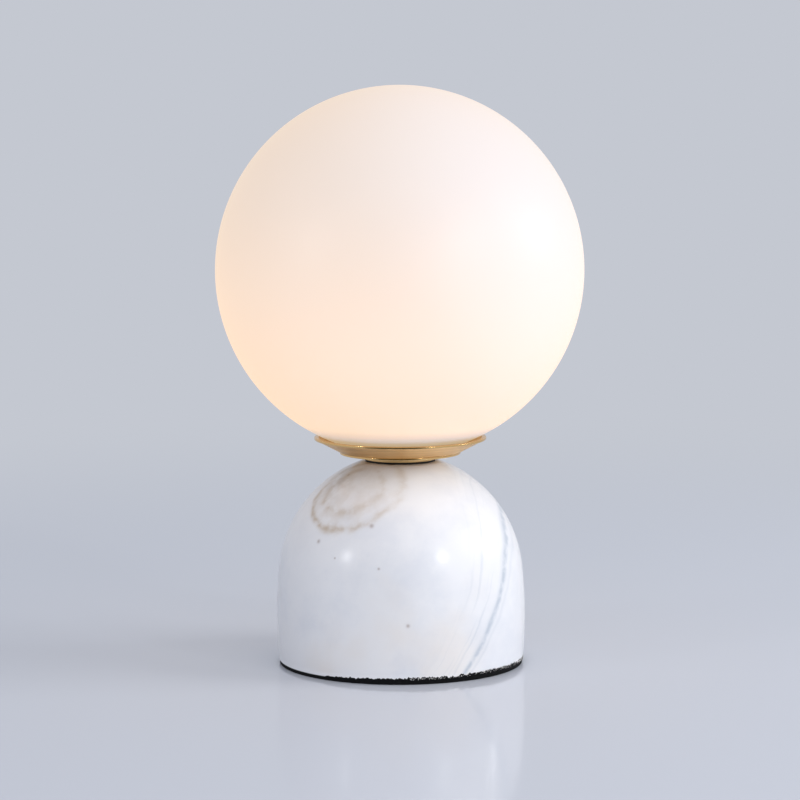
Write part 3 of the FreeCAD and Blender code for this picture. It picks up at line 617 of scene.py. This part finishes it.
def make_ball():
    """The opal ball: an even wall with a fire-polished edge round the collar's mouth."""
    foot = foot_of("glass_globe")
    top = top_of("glass_globe")
    outer, inner = 75.0, 72.0
    collar_outside, collar_bore = 25.5, 22.5
    edge = 0.8
    steps = 96
    centre = top - outer
    shoulder = -math.degrees(math.acos(collar_outside / outer))
    throat = -math.degrees(math.acos(collar_bore / inner))
    outline = arc(0, centre, outer, shoulder, 90, steps)[:-1]
    outline += [(0.0, top), (0.0, top - (outer - inner))]
    outline += arc(0, centre, inner, 90, throat, steps)[1:]
    outline += arc(collar_bore + edge, foot + edge, edge, 180, 270, 5)
    outline += arc(collar_outside - edge, foot + edge, edge, 270, 360, 5)
    ball = add_piece("opal_ball", lathe_mesh("opal_ball", outline), [finishes["opal_glass"]])
    stand_for(ball, "glass_globe")


def slope_at(height, centre, radius):
    """Where an arc of that centre and radius passes a height, in degrees."""
    return math.degrees(math.asin((height - centre[1]) / radius))


def make_stone():
    """The marble dome: the same two arcs as the solid, its hollow below and the cord's hole at the back."""
    foot = foot_of("marble_base")
    top = top_of("marble_base")
    rim = 50.2
    arris = 0.5
    side_centre, side_round = (-143.59, 19.35), 194.6
    dome_centre, dome_round = (-1.116, 34.66), 51.32
    shoulder = 40.14
    land = 14.75
    bore, recess = 5.5, 26.0
    roof = top_of("rubber_washer")
    side = [slope_at(height, side_centre, side_round) for height in (foot + 0.6, shoulder)]
    crown = [slope_at(height, dome_centre, dome_round) for height in (shoulder, top)]
    outline = [(rim - 0.7, foot)]
    outline += arc(rim - arris, foot + arris, arris, -80, -10, 4)
    outline += arc(*side_centre, side_round, *side, 24)
    outline += arc(*dome_centre, dome_round, *crown, 40)[1:]
    outline += [(land, top), (bore, top), (bore, roof), (recess, roof), (recess, foot)]
    mesh = lathe_mesh("marble_dome", outline)

    hole, bushing_seat, seat_start = 4.5, 6.8, 49.6
    within, beyond = 20, 60
    cutter_outline = [
        (0, within),
        (hole, within),
        (hole, seat_start),
        (bushing_seat, seat_start),
        (bushing_seat, beyond),
        (0, beyond),
    ]
    hole_height = (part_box("cord_bushing")[0][2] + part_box("cord_bushing")[1][2]) / 2
    cutter = lathe_mesh("cord_hole", cutter_outline, 64)
    cutter.transform(Matrix.Translation((0, 0, hole_height)) @ Matrix.Rotation(math.radians(-90), 4, "X"))
    dome = add_piece("marble_dome", carved(mesh, cutter), [finishes["white_marble"]])
    stand_for(dome, "marble_base")


def polish(piece, is_polished):
    """Gives the second material to the faces whose radius and height in millimetres pass a test."""
    for face in piece.data.polygons:
        middle = face.center
        if is_polished(math.hypot(middle.x, middle.y) / MM, middle.z / MM):
            face.material_index = 1


def make_dish():
    """The gallery's upper tier: the cone is brushed, the lip's rolled edge is polished."""
    foot = foot_of("globe_dish")
    top = top_of("globe_dish")
    lip = reach_of("globe_dish")
    wall = 0.9
    cone_foot, cone_inner_foot = 25.0, 24.4
    slope_end, slope_top = lip - 0.7, top - 1.0
    cone_slope = (slope_end - cone_foot) / (slope_top - foot)
    mouth = lip - 1.8
    mouth_height = foot + wall + (mouth - cone_inner_foot) / cone_slope
    outline = eased(
        [
            (ROD_HOLE, foot),
            (cone_foot, foot, 0.25),
            (slope_end, slope_top, 0.12),
            (lip, slope_top, 0.2),
            (lip, top, 0.3),
            (mouth, top, 0.15),
            (mouth, mouth_height, 0.1),
            (cone_inner_foot, foot + wall, 0.6),
            (ROD_HOLE, foot + wall),
        ]
    )
    dish = add_piece("brass_dish", lathe_mesh("dish", outline), [finishes["satin_brass"], polished_brass])
    polish(dish, lambda out, height: out > slope_end + 0.05 or height > top - 0.3)
    stand_for(dish, "globe_dish")


def make_disc():
    """The gallery's lower tier: a turned foot under a thin disc with a polished edge."""
    foot = foot_of("base_disc")
    top = top_of("base_disc")
    under = foot + 2.15
    hub, edge = 14.9, 24.77
    polished_from = 24.45
    outline = eased(
        [
            (ROD_HOLE, foot),
            (hub, foot, 0.15),
            (hub, under, 0.3),
            (edge, under, 0.12),
            (edge, top, 0.16),
            (ROD_HOLE, top),
        ]
    )
    disc = add_piece("brass_disc", lathe_mesh("disc", outline), [finishes["satin_brass"], polished_brass])
    polish(disc, lambda out, height: out > polished_from)
    stand_for(disc, "base_disc")


# ---------------------------------------------------------------------------------------------------
# The foot
# ---------------------------------------------------------------------------------------------------
TORN_EDGE = (
    (-38, 0.0), (-36, 0.5), (-15, 1.1), (0, 1.25), (15, 1.6), (30, 1.6), (47, 2.2), (62, 1.7), (110, 0.9), (170, 0.0)
)


def torn_height(bearing):
    """How far the foam's torn edge stands above the pad at a bearing in degrees from the front, + right."""
    for (first, low), (last, high) in zip(TORN_EDGE, TORN_EDGE[1:]):
        if first <= bearing < last:
            return low + (high - low) * (bearing - first) / (last - first)
    return 0.0


def around(bearing, radius, height):
    """A place in metres at a bearing from the front, a radius and a height in millimetres."""
    angle = math.radians(bearing)
    return (radius * MM * math.sin(angle), -radius * MM * math.cos(angle), height * MM)

def rough_at(bearing, fineness, level):
    """Noise from -1 to 1 that runs round the lamp, finer for a larger fineness."""
    angle = math.radians(bearing)
    return noise.noise((math.cos(angle) * fineness, math.sin(angle) * fineness, level))


def make_pad():
    """The foam pad under the stone."""
    top = top_of("foot_pad")
    radius = reach_of("foot_pad")
    outline = eased([(0, 0), (radius, 0, 0.2), (radius, top, 0.1), (0, top)])
    pad = add_piece("foam_pad", lathe_mesh("foam_pad", outline), [finishes["black_foam"]])
    stand_for(pad, "foot_pad")


def skirt_line(bearing, top, pad_radius):
    """The skirt's outline at a bearing: up its rough outside, then down inside the stone's arris."""
    rows = 5
    tuck = 0.4
    stone_side, inner = 50.05, 49.0
    ragged = 1.0 + 0.35 * rough_at(bearing, 22, 0.3) + 0.55 * rough_at(bearing, 75, 4.7)
    reach = max(torn_height(bearing) * ragged, 0.02)
    places = []
    for row in range(rows):
        height = top - tuck + (reach + tuck) * row / (rows - 1)
        rough = 0.10 * rough_at(bearing, 60, height * 3)
        lean = min(max(height - top, 0.0), 0.6) * 0.45
        out = stone_side + lean + 0.12 * (1 - row / (rows - 1)) + rough
        places.append((out if height > top - 0.05 else pad_radius, height))
    return places + [(inner, top + reach), (inner, top - tuck)]


def make_skirt():
    """The torn skirt that the foam leaves over the stone's arris."""
    top = top_of("foot_pad")
    radius = reach_of("foot_pad")
    columns = 2400
    shape = bmesh.new()
    grid = []
    for column in range(columns):
        bearing = 360 * column / columns - 180
        grid.append([shape.verts.new(around(bearing, *place)) for place in skirt_line(bearing, top, radius)])
    for line, following in zip(grid, grid[1:] + grid[:1]):
        for row in range(len(line)):
            after = (row + 1) % len(line)
            shape.faces.new([line[row], following[row], following[after], line[after]])
    bmesh.ops.recalc_face_normals(shape, faces=shape.faces)
    skirt = add_piece("torn_skirt", mesh_of("torn_skirt", shape), [finishes["black_foam"]])
    go_with(skirt, "foot_pad")


def make_flecks():
    """Crumbs of stone that cling to the upper half of the foam's torn edge."""
    top = top_of("foot_pad")
    first, last, columns = 4, 96, 184
    lower_radius, upper_radius = 50.3, 50.4
    shape = bmesh.new()
    lower, upper = [], []
    for column in range(columns + 1):
        bearing = first + (last - first) * column / columns
        reach = torn_height(bearing)
        lower.append(shape.verts.new(around(bearing, lower_radius, top + 0.35 * reach)))
        upper.append(shape.verts.new(around(bearing, upper_radius, top + 0.95 * reach)))
    for column in range(columns):
        shape.faces.new([lower[column], lower[column + 1], upper[column + 1], upper[column]])
    band = mesh_of("fleck_band", shape)
    inputs = {"Density": 6.0e6, "Clump Size": 2.2, "Crumb": 0.19, "Seed": 7, "Material": chip_stone}
    flecks = add_piece("stone_flecks", grown(band, crumbs_tree(), inputs), [])
    go_with(flecks, "marble_base")


def make_chips():
    """Rows of phosphor chips on the four sides of the bulb's core."""
    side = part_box("bulb_core")[1][0] / MM
    foot = foot_of("bulb_core")
    rows = 8
    pitch = (top_of("bulb_core") - foot) / (rows + 0.5)
    first_row = foot + 0.75 * pitch
    thick, wide, high = 0.5, 2.2, 1.5
    from_middle = 1.6
    shape = bmesh.new()
    for turn in range(4):
        for offset in (-from_middle, from_middle):
            size = Matrix.Diagonal((thick * MM, wide * MM, high * MM, 1.0))
            step = Matrix.Translation((side * MM, offset * MM, first_row * MM))
            spin = Matrix.Rotation(math.radians(90 * turn), 4, "Z")
            bmesh.ops.create_cube(shape, size=1.0, matrix=spin @ step @ size)
    row = mesh_of("chip_row", shape)
    inputs = {"Rows": rows, "Pitch": pitch * MM, "Material": phosphor()}
    chips = add_piece("light_chips", grown(row, rows_tree(), inputs), [])
    go_with(chips, "bulb_core")


make_ball()
make_stone()
make_dish()
make_disc()
make_pad()
make_skirt()
make_flecks()
make_chips()

REMODELLED = ("glass_globe", "marble_base", "globe_dish", "base_disc", "foot_pad")
for node in frame["nodes"]:
    if node not in REMODELLED:
        smooth_copy(node)


# ---------------------------------------------------------------------------------------------------
# The floor, the room's light, the lamps and the camera
# ---------------------------------------------------------------------------------------------------
ROOM = tone(196, 200, 209)
FLOOR = tone(205, 208, 216)
ROOM_LIGHT = tuple(c * 1.1 for c in ROOM[:3]) + (1.0,)
ROOM_SHADE = (0.10, 0.10, 0.10, 1.0)
BEHIND_CAMERA = (-0.12, -0.99, 0.0)
AIM = Vector((0, 0, 0.12))
CAMERA_PLACE = (0, -1.2282, 0.24632)
CAMERA_DOWN = 6.423
CAMERA_ROLL = 0.2


def dark_side(made, way):
    """How far a direction points into the room's dark side, behind the camera, from 0 to 1."""
    return made.span(made.scalar("DOT_PRODUCT", way, BEHIND_CAMERA), 0.64, 0.87)


def make_floor():
    """A wide pale floor, a little glossy, that fades into the room's colour far from the object."""
    floor = Finish("pale_floor")
    out = floor.scalar("DISTANCE", floor.place, (0.0, 0.0, 0.0))
    far = floor.span(out, 250.0, 850.0)
    gloss = floor.add("ShaderNodeBsdfPrincipled", {"Base Color": FLOOR, "Roughness": 0.1, "IOR": 1.32})
    plain = floor.add("ShaderNodeEmission", {"Color": ROOM, "Strength": 1.0})
    mixed = floor.add("ShaderNodeMixShader", {0: far, 1: gloss.outputs[0], 2: plain.outputs[0]})

    # What is glossy reflects the dark side of the room in front of the object, and not the pale floor there.
    dark = dark_side(floor, floor.vector("NORMALIZE", floor.place))
    ray = floor.add("ShaderNodeLightPath", {}).outputs
    shaded = floor.times(dark, floor.span(out, 220.0, 420.0), ray["Is Glossy Ray"])
    shade = floor.add("ShaderNodeEmission", {"Color": ROOM_SHADE, "Strength": 0.5})
    surface = floor.add("ShaderNodeMixShader", {0: shaded, 1: mixed.outputs[0], 2: shade.outputs[0]})
    floor.add("ShaderNodeOutputMaterial", {"Surface": surface.outputs[0]})
    shape = bmesh.new()
    bmesh.ops.create_circle(shape, cap_ends=True, segments=96, radius=6.0)
    mesh = mesh_of("floor", shape)
    mesh.materials.append(floor.material)
    slab = bpy.data.objects.new("floor", mesh)
    bpy.context.scene.collection.objects.link(slab)


def make_room():
    """An even pale room, with a dark side behind the camera for what is glossy to reflect."""
    world = bpy.data.worlds.new("room")
    bpy.context.scene.world = world
    world.use_nodes = True
    room = Nodes(world.node_tree)
    ray = room.add("ShaderNodeLightPath", {}).outputs
    way = room.add("ShaderNodeTexCoord", {}).outputs["Generated"]
    reflected = room.mix(dark_side(room, way), ROOM, ROOM_SHADE)
    light = room.mix(ray["Is Glossy Ray"], ROOM_LIGHT, reflected)
    seen = room.mix(ray["Is Camera Ray"], light, ROOM)
    glow = room.add("ShaderNodeBackground", {"Color": seen, "Strength": 1.0}).outputs[0]
    room.add("ShaderNodeOutputWorld", {"Surface": glow})


def add_lamp(name, bearing, elevation, distance, size, power):
    """A round soft lamp aimed at the object, its bearing in degrees from the front, + right."""
    data = bpy.data.lights.new(name, "AREA")
    data.shape = "DISK"
    data.size = size
    data.energy = power
    lamp = bpy.data.objects.new(name, data)
    side = math.radians(bearing)
    rise = math.radians(elevation)
    way = Vector((math.sin(side) * math.cos(rise), -math.cos(side) * math.cos(rise), math.sin(rise)))
    lamp.location = AIM + way * distance
    lamp.rotation_euler = way.to_track_quat("Z", "Y").to_euler()
    bpy.context.scene.collection.objects.link(lamp)
    return lamp


def make_camera():
    """The photograph's camera: a long lens 1.23 m away, looking down a little."""
    data = bpy.data.cameras.new("camera")
    data.sensor_width = 36
    data.lens = 136.08
    data.shift_x = 0.0013
    data.clip_end = 50
    camera = bpy.data.objects.new("camera", data)
    camera.location = CAMERA_PLACE
    camera.rotation_euler = (math.radians(90 - CAMERA_DOWN), math.radians(CAMERA_ROLL), 0)
    bpy.context.scene.collection.objects.link(camera)
    bpy.context.scene.camera = camera


make_floor()
make_room()
# Bearing, elevation, distance in metres, diameter in metres, watts.
key = add_lamp("key_right", 80, 26, 1.4, 0.7, 7.2)
fill = add_lamp("fill_front", 25, 4, 1.5, 0.8, 5.4)
for broad in (key, fill):
    broad.visible_glossy = False
add_lamp("spot_left", -55, 19, 1.5, 0.14, 1.3)
add_lamp("spot_front", 42, 21, 1.5, 0.14, 1.8)
add_lamp("spot_side", 96, 16, 1.5, 0.16, 1.8)
make_camera()
bpy.context.scene.view_settings.view_transform = "Standard"
